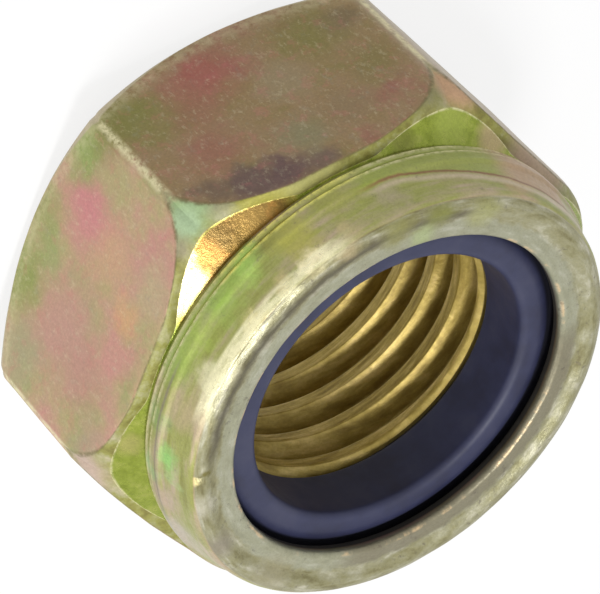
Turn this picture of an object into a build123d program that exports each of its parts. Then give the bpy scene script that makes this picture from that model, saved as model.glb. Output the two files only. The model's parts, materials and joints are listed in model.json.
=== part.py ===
from build123d import *
import os
from math import cos, radians, tan

# Nylon insert lock nut, M16 x 2, thin type, steel with a crimped collar. Millimetres.
# The thread axis is Z. The bearing face lies on z = 0 and the crimped collar is at the top.
# One corner of the hexagon points along +X.

# ---- driving dimensions ---------------------------------------------------------------
# Thread: the bore here is the one before tapping, at the crests of the thread
thread_major_diameter = 16.0
thread_pitch = 2.0
thread_depth_in_pitches = 0.5      # a cut nut thread is a little shallower than 0.541 of the pitch

# Forged hexagon
across_flats = 24.0
wrench_height = 11.4               # bearing face to the foot of the collar
corner_rounding = 1.0              # upright corners
end_slope = 30.0                   # slope of both ends of the hexagon
edge_rounding = 1.0                # between the upper slope and the flats
bearing_setback = 0.75             # bearing face inside the flats
overall_height = 15.0

# Countersinks of the thread
bearing_countersink_margin = 0.65  # outside the major diameter
bearing_countersink_slope = 60.0   # of the cone, from the thread's axis
seat_countersink = 0.6             # at the insert's seat, outside the minor diameter

# Collar, thin enough to be rolled in over the insert
collar_setback = 0.4               # foot of the collar inside the flats
collar_wall = 1.5
collar_upright_height = 1.2        # straight stretch above the foot
collar_lean = 0.5                  # how far the rest leans in, up to the shoulder
shoulder_rounding = 0.9            # where the wall is rolled over

# Rolled lip that holds the insert down
lip_clearance = 0.75               # all round, outside the major diameter
lip_thickness = 0.75
lip_drop = 0.3                     # inner edge below the crown
lip_underside_drop = 0.6           # underside, from the inner edge out to the pocket

# Nylon ring
insert_height = 3.3
insert_bore_margin = 0.1           # outside the minor diameter, before a bolt cuts into it
insert_side_clearance = 0.03       # to the pocket's wall
insert_lip_clearance = 0.05        # under the rolled lip
insert_flat_margin = 0.45          # flat top ends this far inside the lip
insert_lead_in = 0.35              # bevel at the lower end of the ring's bore

# ---- values worked out from them ------------------------------------------------------
flat_radius = across_flats / 2
corner_radius = flat_radius / cos(radians(30))
thread_major_radius = thread_major_diameter / 2
thread_depth = thread_depth_in_pitches * thread_pitch
thread_minor_radius = thread_major_radius - thread_depth
bearing_radius = flat_radius - bearing_setback
collar_radius = flat_radius - collar_setback
pocket_radius = collar_radius - collar_wall
lip_radius = thread_major_radius + lip_clearance
lip_top = overall_height - lip_drop
lip_underside = lip_top - lip_thickness
insert_top = lip_underside - insert_lip_clearance
seat_height = insert_top - insert_height


def ring_of(points, roundings=()):
    """Solid of revolution about Z from (radius, height) points, with some corners rounded.

    roundings is a list of (point number, radius).
    """
    outline = Plane.XZ * make_face(Polyline(*points, close=True))
    for number, size in roundings:
        radius, height = points[number]
        corner = outline.vertices().sort_by_distance(Vector(radius, 0, height))[0]
        outline = fillet(corner, size)
    return Rot(0, 0, 30) * revolve(outline, Axis.Z)


def rising(slope, run):
    """Height gained over a run at a slope in degrees."""
    return run * tan(radians(slope))


def hexagon_column():
    """Upright hexagon with rounded corners, higher than the nut at both ends."""
    section = RegularPolygon(corner_radius, 6)
    section = fillet(section.vertices(), corner_rounding)
    return Pos(0, 0, -overall_height) * extrude(section, 3 * overall_height)


def turned_blank():
    """The blank as if turned, before the flats: sloping ends, bore, collar and pocket."""
    countersink_radius = thread_major_radius + bearing_countersink_margin
    countersink_run = countersink_radius - thread_minor_radius
    countersink_top = countersink_run / tan(radians(bearing_countersink_slope))
    upright_top = wrench_height + collar_upright_height
    reach = corner_radius + corner_rounding
    points = [
        (thread_minor_radius, countersink_top),
        (countersink_radius, 0),
        (bearing_radius, 0),
        (reach, rising(end_slope, reach - bearing_radius)),
        (reach, wrench_height - rising(end_slope, reach - collar_radius)),
        (collar_radius, wrench_height),
        (collar_radius, upright_top),
        (collar_radius - collar_lean, overall_height - shoulder_rounding / 4),
        (collar_radius - collar_lean - shoulder_rounding / 2, overall_height),
        (lip_radius, lip_top),
        (lip_radius, lip_underside),
        (pocket_radius, lip_underside - lip_underside_drop),
        (pocket_radius, seat_height),
        (thread_minor_radius + seat_countersink, seat_height),
        (thread_minor_radius, seat_height - seat_countersink),
    ]
    return ring_of(points, [(7, shoulder_rounding)])


def upper_arcs(body):
    """Arcs where the upper slope meets the flats and the rounded corners."""
    arcs = (GeomType.HYPERBOLA, GeomType.BSPLINE)
    edges = [edge for edge in body.edges() if edge.geom_type in arcs]
    return [edge for edge in edges if edge.center().Z > wrench_height / 2]


def nut_body():
    """Steel body: forged hexagon with its bore, and the collar rolled in over the pocket."""
    body = turned_blank() & hexagon_column()
    return fillet(upper_arcs(body), edge_rounding)


def nylon_insert():
    """Nylon ring, seated on the pocket's floor and held down by the rolled lip."""
    bore = thread_minor_radius + insert_bore_margin
    outer = pocket_radius - insert_side_clearance
    flat_end = lip_radius - insert_flat_margin
    outer_top = insert_top - lip_underside_drop
    points = [
        (bore, seat_height + insert_lead_in),
        (bore + insert_lead_in, seat_height),
        (outer, seat_height),
        (outer, outer_top),
        (flat_end, insert_top),
        (bore, insert_top),
    ]
    return ring_of(points)


if __name__ == "__main__":
    os.makedirs("parts", exist_ok=True)
    export_step(nut_body(), "parts/nut_body.step")
    export_step(nylon_insert(), "parts/nylon_insert.step")
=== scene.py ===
"""Looks of a nylon insert lock nut: plated steel body with its cut thread, and the ring in its collar."""

import json
import logging
import math
from dataclasses import dataclass
from enum import Enum
from typing import Sequence

import bmesh
import bpy
from mathutils import Matrix, Vector, noise

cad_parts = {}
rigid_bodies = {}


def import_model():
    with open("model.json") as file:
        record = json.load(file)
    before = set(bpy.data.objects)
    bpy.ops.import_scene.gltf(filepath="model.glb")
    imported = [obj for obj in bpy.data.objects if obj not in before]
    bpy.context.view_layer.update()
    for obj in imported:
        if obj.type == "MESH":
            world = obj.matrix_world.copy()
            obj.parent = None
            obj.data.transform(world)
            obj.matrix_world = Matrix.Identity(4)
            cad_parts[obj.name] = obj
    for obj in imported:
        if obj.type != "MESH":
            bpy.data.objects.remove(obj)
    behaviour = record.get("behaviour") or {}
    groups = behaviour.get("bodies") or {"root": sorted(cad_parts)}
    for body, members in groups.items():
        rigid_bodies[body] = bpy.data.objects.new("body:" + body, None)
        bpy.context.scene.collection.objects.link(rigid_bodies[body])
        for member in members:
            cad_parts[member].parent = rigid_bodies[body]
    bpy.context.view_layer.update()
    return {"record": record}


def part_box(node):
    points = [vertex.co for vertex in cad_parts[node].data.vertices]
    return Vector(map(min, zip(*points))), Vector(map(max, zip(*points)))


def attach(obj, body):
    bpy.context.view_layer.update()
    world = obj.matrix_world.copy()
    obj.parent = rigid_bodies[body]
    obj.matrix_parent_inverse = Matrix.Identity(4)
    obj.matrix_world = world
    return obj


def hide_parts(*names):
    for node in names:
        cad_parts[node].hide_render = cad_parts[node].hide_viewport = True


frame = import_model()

logging.basicConfig(level=logging.INFO, format="%(message)s")
log = logging.getLogger("lock_nut")

MM = 0.001
SIDE = math.radians(60)
HALF_SIDE = math.radians(30)
THREAD_FLANK = math.radians(30)
SAME_PLACE = 1e-6
WELD = 0.002 * MM
Point = tuple[float, float]
Colour = tuple[float, float, float, float]
Socket = bpy.types.NodeSocket


# ---- helpers for working in edit mode ---------------------------------------------------


def deselect_all() -> None:
    """Leaves nothing selected, so that the next tool acts on its own piece alone."""
    bpy.ops.object.select_all(action="DESELECT")


def make_active(obj: bpy.types.Object) -> None:
    """Selects one object alone and makes it the active one."""
    deselect_all()
    obj.select_set(True)
    bpy.context.view_layer.objects.active = obj


def edit(obj: bpy.types.Object) -> None:
    """Opens an object in edit mode."""
    make_active(obj)
    bpy.ops.object.mode_set(mode="EDIT")


def done() -> None:
    """Leaves edit mode."""
    bpy.ops.object.mode_set(mode="OBJECT")


def turn(point: Vector) -> float:
    """Angle of a point round the thread's axis, from +X, in radians."""
    return math.atan2(point.y, point.x)


def reach(point: Vector) -> float:
    """Distance of a point from the thread's axis."""
    return math.hypot(point.x, point.y)


def eased(low: float, high: float, value: float) -> float:
    """Smooth step from 0 at low to 1 at high, where high may be below low."""
    share = min(max((value - low) / (high - low), 0.0), 1.0)
    return share * share * (3 - 2 * share)


def select_points(obj: bpy.types.Object, places: Sequence[Vector]) -> None:
    """Selects the points of a drawn wire that lie on any of the given places."""
    wire = bmesh.from_edit_mesh(obj.data)
    for vert in wire.verts:
        vert.select = any((vert.co - place).length < SAME_PLACE for place in places)
    wire.select_flush_mode()
    bmesh.update_edit_mesh(obj.data)


def face_outwards(obj: bpy.types.Object, crease: float) -> None:
    """Turns every face outwards, and smooths all edges that bend less than so many degrees."""
    edit(obj)
    bpy.ops.mesh.select_all(action="SELECT")
    bpy.ops.mesh.normals_make_consistent(inside=False)
    done()
    make_active(obj)
    bpy.ops.object.shade_smooth_by_angle(angle=math.radians(crease))


# ---- outlines that are turned round the axis --------------------------------------------


@dataclass(frozen=True)
class Corner:
    """One corner of a turned outline, in millimetres.

    Args:
        radius: distance from the thread's axis.
        height: height above the bearing face.
        rounding: radius of the corner's rounding, 0 for a sharp one.
        row: number of the hexagon's row that starts here, 0 for none.
    """

    radius: float
    height: float
    rounding: float = 0.0
    row: int = 0

    def place(self) -> Vector:
        """The corner as a point over +X, in metres."""
        return Vector((self.radius * MM, 0.0, self.height * MM))

    def moved(self, outward: float, upward: float) -> "Corner":
        """The same corner, moved outwards and upwards."""
        return Corner(outward + self.radius, upward + self.height, self.rounding)


@dataclass(frozen=True)
class Outline:
    """A half section of a turned piece, drawn corner by corner and then spun round the axis.

    Args:
        corners: the corners in order.
        closed: whether the last corner joins the first.
        longest: longest edge left along the section, in millimetres.
        arc_segments: segments in each rounding.
    """

    corners: Sequence[Corner]
    closed: bool = False
    longest: float = 0.25
    arc_segments: int = 6

    def draw(self, name: str) -> bpy.types.Object:
        """Extrudes a wire from corner to corner, rounds its corners and divides its long edges."""
        deselect_all()
        bpy.ops.mesh.primitive_plane_add(size=MM, location=(0, 0, 0))
        obj = bpy.context.active_object
        obj.name = name
        obj.data.name = name
        edit(obj)
        bpy.ops.mesh.select_all(action="SELECT")
        bpy.ops.mesh.merge(type="CENTER")
        here = self.corners[0].place()
        bpy.ops.transform.translate(value=here)
        for corner in self.corners[1:]:
            step = corner.place() - here
            bpy.ops.mesh.extrude_vertices_move(TRANSFORM_OT_translate={"value": step})
            here = corner.place()
        if self.closed:
            self._close(obj)
        self._round(obj)
        self._number(obj)
        self._divide(obj)
        self._number(obj)
        done()
        return obj

    def _close(self, obj: bpy.types.Object) -> None:
        """Joins the last corner to the first with an edge."""
        select_points(obj, (self.corners[0].place(), self.corners[-1].place()))
        bpy.ops.mesh.edge_face_add()

    def _round(self, obj: bpy.types.Object) -> None:
        """Rounds each corner that has a rounding."""
        count = len(self.corners)
        for number, corner in enumerate(self.corners):
            if corner.rounding <= 0:
                continue
            before = self.corners[number - 1].place()
            after = self.corners[(number + 1) % count].place()
            bend = (corner.place() - before).angle(after - corner.place())
            setback = corner.rounding * MM * math.tan(bend / 2)
            select_points(obj, (corner.place(),))
            bpy.ops.mesh.bevel(
                offset=setback,
                offset_type="OFFSET",
                segments=self.arc_segments,
                affect="VERTICES",
                profile=0.5,
            )

    def _number(self, obj: bpy.types.Object) -> None:
        """Writes the number of its row on each point that starts one."""
        wire = bmesh.from_edit_mesh(obj.data)
        row = wire.verts.layers.int.get("row") or wire.verts.layers.int.new("row")
        starts = [corner for corner in self.corners if corner.row > 0]
        for vert in wire.verts:
            here = [start.row for start in starts if (vert.co - start.place()).length < SAME_PLACE / 10]
            vert[row] = here[0] if here else 0
        bmesh.update_edit_mesh(obj.data)

    def _divide(self, obj: bpy.types.Object) -> None:
        """Divides every edge longer than the longest allowed, apart from those between two rows."""
        wire = bmesh.from_edit_mesh(obj.data)
        row = wire.verts.layers.int["row"]
        for edge in list(wire.edges):
            between_rows = all(vert[row] > 0 for vert in edge.verts)
            pieces = math.ceil(edge.calc_length() / (self.longest * MM))
            if pieces > 1 and not between_rows:
                bmesh.ops.subdivide_edges(wire, edges=[edge], cuts=pieces - 1)
        bmesh.update_edit_mesh(obj.data)


def spin(wire: bpy.types.Object, steps: int) -> bpy.types.Object:
    """Spins a drawn outline a full turn into a seamless surface.

    Args:
        wire: the outline.
        steps: divisions round the axis.

    Returns:
        The same object, with its normals not yet made consistent.
    """
    edit(wire)
    bpy.ops.mesh.select_all(action="SELECT")
    bpy.ops.mesh.spin(steps=steps, angle=math.tau, center=(0, 0, 0), axis=(0, 0, 1))
    bpy.ops.mesh.select_all(action="SELECT")
    bpy.ops.mesh.remove_doubles(threshold=WELD)
    done()
    return wire


# ---- the steel body ---------------------------------------------------------------------

# Rows of the hexagon's section, from the collar's foot down to the bearing face.
LEDGE_ROWS = 9
BROW_ROWS = 14
FLAT_ROWS = 28
BASE_ROWS = 13
LEDGE_END = LEDGE_ROWS + 1
FLAT_START = LEDGE_ROWS + BROW_ROWS
FLAT_END = LEDGE_ROWS + BROW_ROWS + FLAT_ROWS

# How strongly the divisions round the axis crowd towards the upright corners.
CROWDING = 0.36


class Zone(Enum):
    """Zones of the steel body, by the name of the attribute that marks each."""

    LEDGE = "ledge"
    BROW = "brow"
    FLAT = "flat"
    BASE = "base"
    COLLAR = "collar"
    LIP = "lip"
    POCKET = "pocket"
    BORE = "bore"
    EDGE = "edge"
    SEAM = "seam"


@dataclass(frozen=True)
class HexagonSizes:
    """Forged hexagon, in millimetres.

    Args:
        flat_radius: half the width across the flats.
        corner_radius: distance from the axis to the rounded upright corners.
        height: bearing face to the foot of the collar.
        foot_radius: inner end of the ledge, at the collar's foot.
        end_slope: slope of both ends, in degrees.
        bearing_setback: bearing face inside the flats.
        ledge_corner: reach of the ledge at the upright corners.
        ledge_taper: how fast the ledge narrows away from a corner, in millimetres a degree.
        ledge_bow: how much faster it narrows further on, in millimetres a square degree.
        ledge_least: least reach of the ledge, at the middle of a flat.
        ledge_tip: how round the ledge's tip is at a corner, in degrees.
        ledge_fade: how softly it narrows to its least reach.
        brow_out: share of the way out to the wall at which the rolled edge bends down.
        brow_down: share of the way down to the flat's arc at which it bends.
        arc_drop: top of a flat's upper arc, under the collar's foot.
        arc_level: share of half a flat over which that arc runs level.
        arc_fall: how far the arc then falls, and how sharply.
        arc_tip: how much further it falls close to a corner, and how sharply.
        worn_angle: middle of the stretch where the arc is worn lower, in degrees round the axis.
        worn_reach: how far that stretch reaches to each side, in degrees.
        worn_depth: how deep it is worn at the middle of a flat.
        worn_tip: how much deeper it is worn at a corner.
        base_rise: lower arc above the bearing face at the middle of a flat.
        base_bow: how much higher it is at a corner.
        chin_least: least fall under that arc before the surface turns in.
        corner_roundings: rounding of each upright corner, from the one over +X on.
    """

    flat_radius: float
    corner_radius: float
    height: float = 11.35
    foot_radius: float = 11.4
    end_slope: float = 30.0
    bearing_setback: float = 0.75
    ledge_corner: float = 13.03
    ledge_taper: float = 0.060
    ledge_bow: float = 0.0008
    ledge_least: float = 11.46
    ledge_tip: float = 3.5
    ledge_fade: float = 0.12
    brow_out: float = 0.86
    brow_down: float = 0.28
    arc_drop: float = 0.3
    arc_level: float = 0.32
    arc_fall: tuple[float, float] = (1.3, 1.35)
    arc_tip: tuple[float, float] = (2.3, 5.5)
    worn_angle: float = 243.0
    worn_reach: float = 20.0
    worn_depth: float = 0.6
    worn_tip: float = 1.2
    base_rise: float = 0.55
    base_bow: float = 1.85
    chin_least: float = 0.1
    corner_roundings: tuple[float, ...] = (0.35, 0.35, 0.9, 0.6, 1.4, 1.5)

    def off_middle(self, angle: float) -> float:
        """Angle from the middle of the nearest flat, in radians."""
        off = (angle - HALF_SIDE) % SIDE
        return min(off, SIDE - off)

    def crowded(self, angle: float) -> float:
        """Moves an even division round the axis nearer to the upright corners, where the wall bends."""
        number = round((angle - HALF_SIDE) / SIDE)
        middle = math.radians(30 + 60 * number)
        share = (angle - middle) / HALF_SIDE
        return middle + HALF_SIDE * (share * (1 + CROWDING) - CROWDING * share**3)

    def wall(self, angle: float) -> float:
        """Distance from the axis to the hexagon's wall, with its upright corners rounded."""
        number = round(angle / SIDE)
        rounding = self.corner_roundings[number % 6]
        off = abs(angle - number * SIDE)
        flat = self.flat_radius / math.cos(HALF_SIDE - off)
        inset = self.flat_radius - rounding
        middle = inset / math.cos(HALF_SIDE)
        tangent = HALF_SIDE - math.atan2(inset * math.tan(HALF_SIDE), self.flat_radius)
        if off < tangent:
            flat = middle * math.cos(off) + math.sqrt(rounding**2 - (middle * math.sin(off)) ** 2)
        return min(flat, self.corner_radius / math.cos(off))

    def ledge_edge(self, angle: float) -> Point:
        """Radius and height of the ledge's outer edge."""
        off = math.hypot(30 - math.degrees(self.off_middle(angle)), self.ledge_tip)
        radius = self.ledge_corner - self.ledge_taper * off - self.ledge_bow * off * off
        over = radius - self.ledge_least
        radius = self.ledge_least + (over + math.hypot(over, self.ledge_fade)) / 2
        drop = (radius - self.foot_radius) * math.tan(math.radians(self.end_slope))
        return radius, self.height - drop

    def flat_top(self, angle: float) -> float:
        """Height of a flat's upper arc, which falls away quickly at the corners."""
        along = self.flat_radius * math.tan(self.off_middle(angle))
        half = self.flat_radius * math.tan(HALF_SIDE)
        share = max(along - self.arc_level * half, 0.0) / ((1 - self.arc_level) * half)
        worn = eased(self.worn_reach, 0.0, abs(math.degrees(angle) % 360 - self.worn_angle))
        drop = sum(depth * share**power for depth, power in (self.arc_fall, self.arc_tip))
        return self.height - self.arc_drop - drop - worn * (self.worn_depth + self.worn_tip * share)

    def flat_bottom(self, angle: float) -> float:
        """Height of a flat's lower arc."""
        along = self.flat_radius * math.tan(self.off_middle(angle))
        half = self.flat_radius * math.tan(HALF_SIDE)
        return self.base_rise + self.base_bow * (along / half) ** 2

    def section(self, angle: float) -> list[Point]:
        """Section of the hexagon at an angle round the axis, from the collar's foot to the bearing face.

        Args:
            angle: angle round the axis, in radians.

        Returns:
            Points (radius, height), as many at every angle.
        """
        foot = (self.foot_radius, self.height)
        edge = self.ledge_edge(angle)
        wall = self.wall(angle)
        top = (wall, self.flat_top(angle))
        bottom = (wall, self.flat_bottom(angle))
        bearing = (self.flat_radius - self.bearing_setback, 0.0)
        brow = (
            edge[0] + self.brow_out * (wall - edge[0]),
            edge[1] - self.brow_down * (edge[1] - top[1]),
        )
        chin_height = (wall - bearing[0]) * math.tan(math.radians(self.end_slope))
        chin = (wall, min(chin_height, bottom[1] - self.chin_least))
        points = [blend(foot, edge, share) for share in spread(LEDGE_ROWS, 1.0, 0.4)]
        points += [arc(edge, brow, top, share) for share in spread(BROW_ROWS, 0.3, 1.0)[1:]]
        points += [blend(top, bottom, share) for share in spread(FLAT_ROWS, 1.0, 1.0)[1:]]
        points += [arc(bottom, chin, bearing, share) for share in spread(BASE_ROWS, 1.0, 1.0)[1:]]
        return points

    def zone_of(self, row: int) -> Zone:
        """Zone that a row of the section, counted from 1, lies in."""
        if row <= LEDGE_END:
            return Zone.LEDGE
        if row < FLAT_START:
            return Zone.BROW
        if row <= FLAT_END + 1:
            return Zone.FLAT
        return Zone.BASE


def blend(first: Point, last: Point, share: float) -> Point:
    """Point at a share of the way from first to last."""
    return (
        first[0] + (last[0] - first[0]) * share,
        first[1] + (last[1] - first[1]) * share,
    )


def arc(first: Point, bend: Point, last: Point, share: float) -> Point:
    """Point on the rounded curve that leaves first towards bend and ends at last."""
    return blend(blend(first, bend, share), blend(bend, last, share), share)


def spread(count: int, first_gap: float, last_gap: float) -> list[float]:
    """Shares from 0 to 1 whose gaps grow or shrink evenly.

    Args:
        count: number of gaps.
        first_gap: relative width of the first gap.
        last_gap: relative width of the last gap.
    """
    gaps = [first_gap + (last_gap - first_gap) * n / max(count - 1, 1) for n in range(count)]
    shares = [0.0]
    for gap in gaps:
        shares.append(shares[-1] + gap / sum(gaps))
    return shares


@dataclass(frozen=True)
class ThreadSizes:
    """Right-hand thread of 60 degree form, in millimetres.

    Args:
        major_radius: bottom of the groove.
        minor_radius: the crests.
        pitch: rise in one turn.
        root_share: flat at the bottom of the groove, as a share of the pitch.
        start_height: middle of the groove over +X.
        crest_rounding: rounding of the crests' edges.
        root_rounding: rounding at the bottom of the groove.
        countersink_margin: countersink at the bearing face, outside the major diameter.
        countersink_slope: its slope from the axis, in degrees.
        seat_countersink: countersink at the seat, outside the minor diameter.
    """

    major_radius: float
    minor_radius: float
    pitch: float = 2.0
    root_share: float = 0.125
    start_height: float = 0.3
    crest_rounding: float = 0.07
    root_rounding: float = 0.08
    countersink_margin: float = 0.65
    countersink_slope: float = 60.0
    seat_countersink: float = 0.22


@dataclass(frozen=True)
class CollarSizes:
    """Collar that is rolled in over the ring, in millimetres.

    Args:
        groove_radius: narrow groove at its foot.
        radius: outside of its upright stretch.
        crease_height: crease where it starts to lean in.
        shoulder_radius: outside, just under the rolled shoulder.
        shoulder_height: height of that place.
        crown_radius: radius of its highest circle.
        crown_height: height of its highest circle.
        valley_radius: shallow valley that the rolling tool leaves in the lip.
        valley_depth: depth of that valley under the crown.
        lip_radius: inner edge of the lip.
        lip_top: height of the inner edge.
        lip_underside: height of the lip's underside at the inner edge.
        pocket_radius: wall of the ring's pocket.
        pocket_top: height where the pocket's wall meets the underside.
        rolled: corners of the crown and shoulder, each as far from its circle, with its rounding.
        crease: corners of the crease, as far outside the upright stretch and above the crease.
        foot: corners of the bead at the foot, as far outside the upright stretch and above the foot.
    """

    groove_radius: float = 11.4
    radius: float = 11.6
    crease_height: float = 12.8
    shoulder_radius: float = 11.15
    shoulder_height: float = 14.1
    crown_radius: float = 10.4
    crown_height: float = 14.95
    valley_radius: float = 9.8
    valley_depth: float = 0.25
    lip_radius: float = 8.75
    lip_top: float = 14.72
    lip_underside: float = 13.95
    pocket_radius: float = 10.1
    pocket_top: float = 13.35
    rolled: tuple[Corner, Corner] = (Corner(0.0, 0.02, 0.5), Corner(-0.14, -0.2, 0.62))
    crease: tuple[Corner, Corner] = (Corner(-0.14, 0.12, 0.25), Corner(0.02, -0.08, 0.25))
    foot: tuple[Corner, Corner, Corner] = (
        Corner(0.02, 0.72, 0.12),
        Corner(-0.11, 0.55, 0.10),
        Corner(-0.06, 0.24, 0.07),
    )

    def outline(self, foot_height: float) -> list[Corner]:
        """Corners of the outline from the pocket's wall, over the lip and down to the foot."""
        crown, shoulder_top = self.rolled
        corners = [
            Corner(self.pocket_radius, self.pocket_top),
            Corner(self.lip_radius, self.lip_underside, 0.15),
            Corner(self.lip_radius, self.lip_top, 0.26),
            Corner(self.valley_radius, self.crown_height - self.valley_depth, 0.5),
            crown.moved(self.crown_radius, self.crown_height),
            shoulder_top.moved(self.shoulder_radius, self.crown_height),
            Corner(self.shoulder_radius, self.shoulder_height, 0.9),
        ]
        corners += [corner.moved(self.radius, self.crease_height) for corner in self.crease]
        corners += [corner.moved(self.radius, foot_height) for corner in self.foot]
        return corners + [Corner(self.groove_radius, foot_height + 0.12, 0.05)]


@dataclass(frozen=True)
class ForgingMarks:
    """Slight waves, wear and a nick that forging, rolling and use leave, and where a painted highlight lies
    on the collar's beads, in millimetres.

    Args:
        waves: width and height of each kind of wave in the walls.
        lip_wave: width and height of the waves in the top of the lip.
        sink: how far the surface stands back, so that no wave rises past its plain shape.
        lip_from: height above which the lip has its waves.
        nick_angle: nick in the shoulder, in degrees round the axis.
        nick_root: distance from the axis at which it has that angle.
        nick_slant: how fast it slants outwards, in degrees a millimetre.
        nick_reach: distances from the axis between which it runs.
        nick_from: height above which it is cut.
        nick_width: its half width.
        nick_depth: its depth.
        base_wear: how bright the lower edges are worn, 0 to 1.
        beads: beads of the collar's foot that carry a painted highlight, each as height over the foot and
            half width.
    """

    waves: tuple[Point, Point] = ((3.1, 0.022), (0.9, 0.008))
    lip_wave: Point = (1.3, 0.022)
    sink: float = 0.03
    lip_from: float = 14.2
    nick_angle: float = 50.0
    nick_root: float = 10.6
    nick_slant: float = 2.2
    nick_reach: Point = (10.1, 11.35)
    nick_from: float = 13.8
    nick_width: float = 0.16
    nick_depth: float = 0.11
    base_wear: float = 0.35
    beads: tuple[Point, Point] = ((0.26, 0.1), (0.74, 0.12))


@dataclass
class SteelBody:
    """The steel body: hexagon, collar, lip, pocket and cut thread, as one closed surface.

    Args:
        hexagon: sizes of the hexagon.
        thread: sizes of the thread.
        collar: sizes of the collar.
        seat_height: height of the ring's seat, in millimetres.
        marks: what forging, rolling and use leave.
        seat_rim: where the turned seat starts, outside the thread's major diameter.
        steps: divisions round the shell.
        thread_steps: divisions round one turn of the thread.
        thread_turns: turns wound before they are trimmed.
    """

    hexagon: HexagonSizes
    thread: ThreadSizes
    collar: CollarSizes
    seat_height: float
    marks: ForgingMarks = ForgingMarks()
    seat_rim: float = 0.3
    steps: int = 336
    thread_steps: int = 108
    thread_turns: int = 9

    def build(self) -> bpy.types.Object:
        """Makes the whole body.

        Returns:
            The finished object, named for its place in the nut.
        """
        shell = self._turned_shell()
        self._mill_flats(shell)
        self._mark_zones(shell)
        self._work_the_metal(shell)
        bore = self._cut_thread()
        body = self._join(shell, bore)
        log.info("steel body: %d faces", len(body.data.polygons))
        return body

    def _turned_shell(self) -> bpy.types.Object:
        """Turns everything but the thread, to the size of the upright corners."""
        blank = self.hexagon.section(0.0)
        corners = [
            Corner(self.thread.major_radius + self.seat_rim, self.seat_height),
            Corner(self.collar.pocket_radius, self.seat_height),
        ]
        corners += self.collar.outline(self.hexagon.height)
        corners += [Corner(*point, row=number + 1) for number, point in enumerate(blank)]
        corners += [Corner(self.thread.major_radius + self.thread.countersink_margin, 0.0)]
        wire = Outline(corners, longest=0.24).draw("nut_body_shell")
        return spin(wire, self.steps)

    def _mill_flats(self, shell: bpy.types.Object) -> None:
        """Moves each row of the turned hexagon to its place on the milled one."""
        rows = shell.data.attributes["row"]
        sections: dict[int, list[Point]] = {}
        for vert in shell.data.vertices:
            row = rows.data[vert.index].value
            angle = self.hexagon.crowded(turn(vert.co))
            if row == 0:
                radius = reach(vert.co)
                vert.co.x = math.cos(angle) * radius
                vert.co.y = math.sin(angle) * radius
                continue
            key = round(angle * 1e5)
            if key not in sections:
                sections[key] = self.hexagon.section(angle)
            radius, height = sections[key][row - 1]
            vert.co.x = math.cos(angle) * radius * MM
            vert.co.y = math.sin(angle) * radius * MM
            vert.co.z = height * MM
        shell.data.update()

    def _mark_zones(self, shell: bpy.types.Object) -> None:
        """Marks each zone of the surface, which the plating and the painted shade follow, and the thin bright
        edges: a painted highlight, with wear on the lower ones.
        """
        for zone in Zone:
            shell.data.attributes.new(zone.value, "FLOAT", "POINT")
        rows = shell.data.attributes["row"]
        marks = {zone: shell.data.attributes[zone.value] for zone in Zone}
        for vert in shell.data.vertices:
            row = rows.data[vert.index].value
            zone = self._zone_at(vert, row)
            marks[zone].data[vert.index].value = 1.0
            marks[Zone.EDGE].data[vert.index].value = self._edge_highlight_and_wear_at(vert, row)
            seam = eased(1.6, 0.4, abs(row - FLAT_START + 0.5))
            marks[Zone.SEAM].data[vert.index].value = seam

    def _zone_at(self, vert: bpy.types.MeshVertex, row: int) -> Zone:
        """Zone that a point of the shell lies in."""
        radius = reach(vert.co) / MM
        height = vert.co.z / MM
        collar = self.collar
        if row > 0:
            return self.hexagon.zone_of(row)
        if radius > collar.shoulder_radius - 0.25 and height > 1:
            return Zone.COLLAR
        if radius < collar.lip_radius + 0.06 and height > collar.pocket_top:
            return Zone.POCKET if height < collar.lip_top - 0.3 else Zone.LIP
        if height < collar.lip_underside + 0.1:
            return Zone.POCKET if height > 1 else Zone.BASE
        return Zone.LIP

    def _edge_highlight_and_wear_at(self, vert: bpy.types.MeshVertex, row: int) -> float:
        """How brightly a point's edge is painted, 0 to 1: a painted highlight on the ledge's edge, the
        upright corners and the collar's beads, and wear on the lower edges.
        """
        height = vert.co.z / MM
        if row == LEDGE_END:
            return 1.0
        if FLAT_START - 2 < row < FLAT_END + 1:
            off = 30 - math.degrees(self.hexagon.off_middle(turn(vert.co)))
            corner = eased(1.15, 0.4, off)
            lower = eased(1.5, 0.0, FLAT_END - row)
            return max(corner, self.marks.base_wear * lower)
        if row > FLAT_END:
            return self.marks.base_wear * eased(FLAT_END + 5, FLAT_END, row)
        if row == 0 and reach(vert.co) > 11.3 * MM and height > 1:
            over_foot = height - self.hexagon.height
            return max(eased(half, 0.0, abs(over_foot - bead)) for bead, half in self.marks.beads)
        return 0.0

    def _work_the_metal(self, shell: bpy.types.Object) -> None:
        """Leaves the slight waves that forging and rolling leave in the surface."""
        marks = self.marks
        millimetres_a_degree = 0.19
        for vert in shell.data.vertices:
            radius = reach(vert.co) / MM
            height = vert.co.z / MM
            inside = radius < self.collar.pocket_radius + 0.02 and height < 13.6
            if inside or height < 0.3:
                continue
            swell = sum(noise.noise(vert.co / (width * MM)) * high for width, high in marks.waves)
            outward = Vector((vert.co.x, vert.co.y, 0)).normalized()
            vert.co += outward * (swell - marks.sink) * MM
            slant = marks.nick_slant * (radius - marks.nick_root)
            aside = abs(math.degrees(turn(vert.co)) - marks.nick_angle - slant) * millimetres_a_degree
            if height > marks.nick_from and marks.nick_reach[0] < radius < marks.nick_reach[1]:
                vert.co.z -= marks.nick_depth * eased(marks.nick_width, 0.0, aside) * MM
            if height > marks.lip_from:
                width, high = marks.lip_wave
                vert.co.z += (noise.noise(vert.co / (width * MM)) * high - marks.sink) * MM
        shell.data.update()

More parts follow.
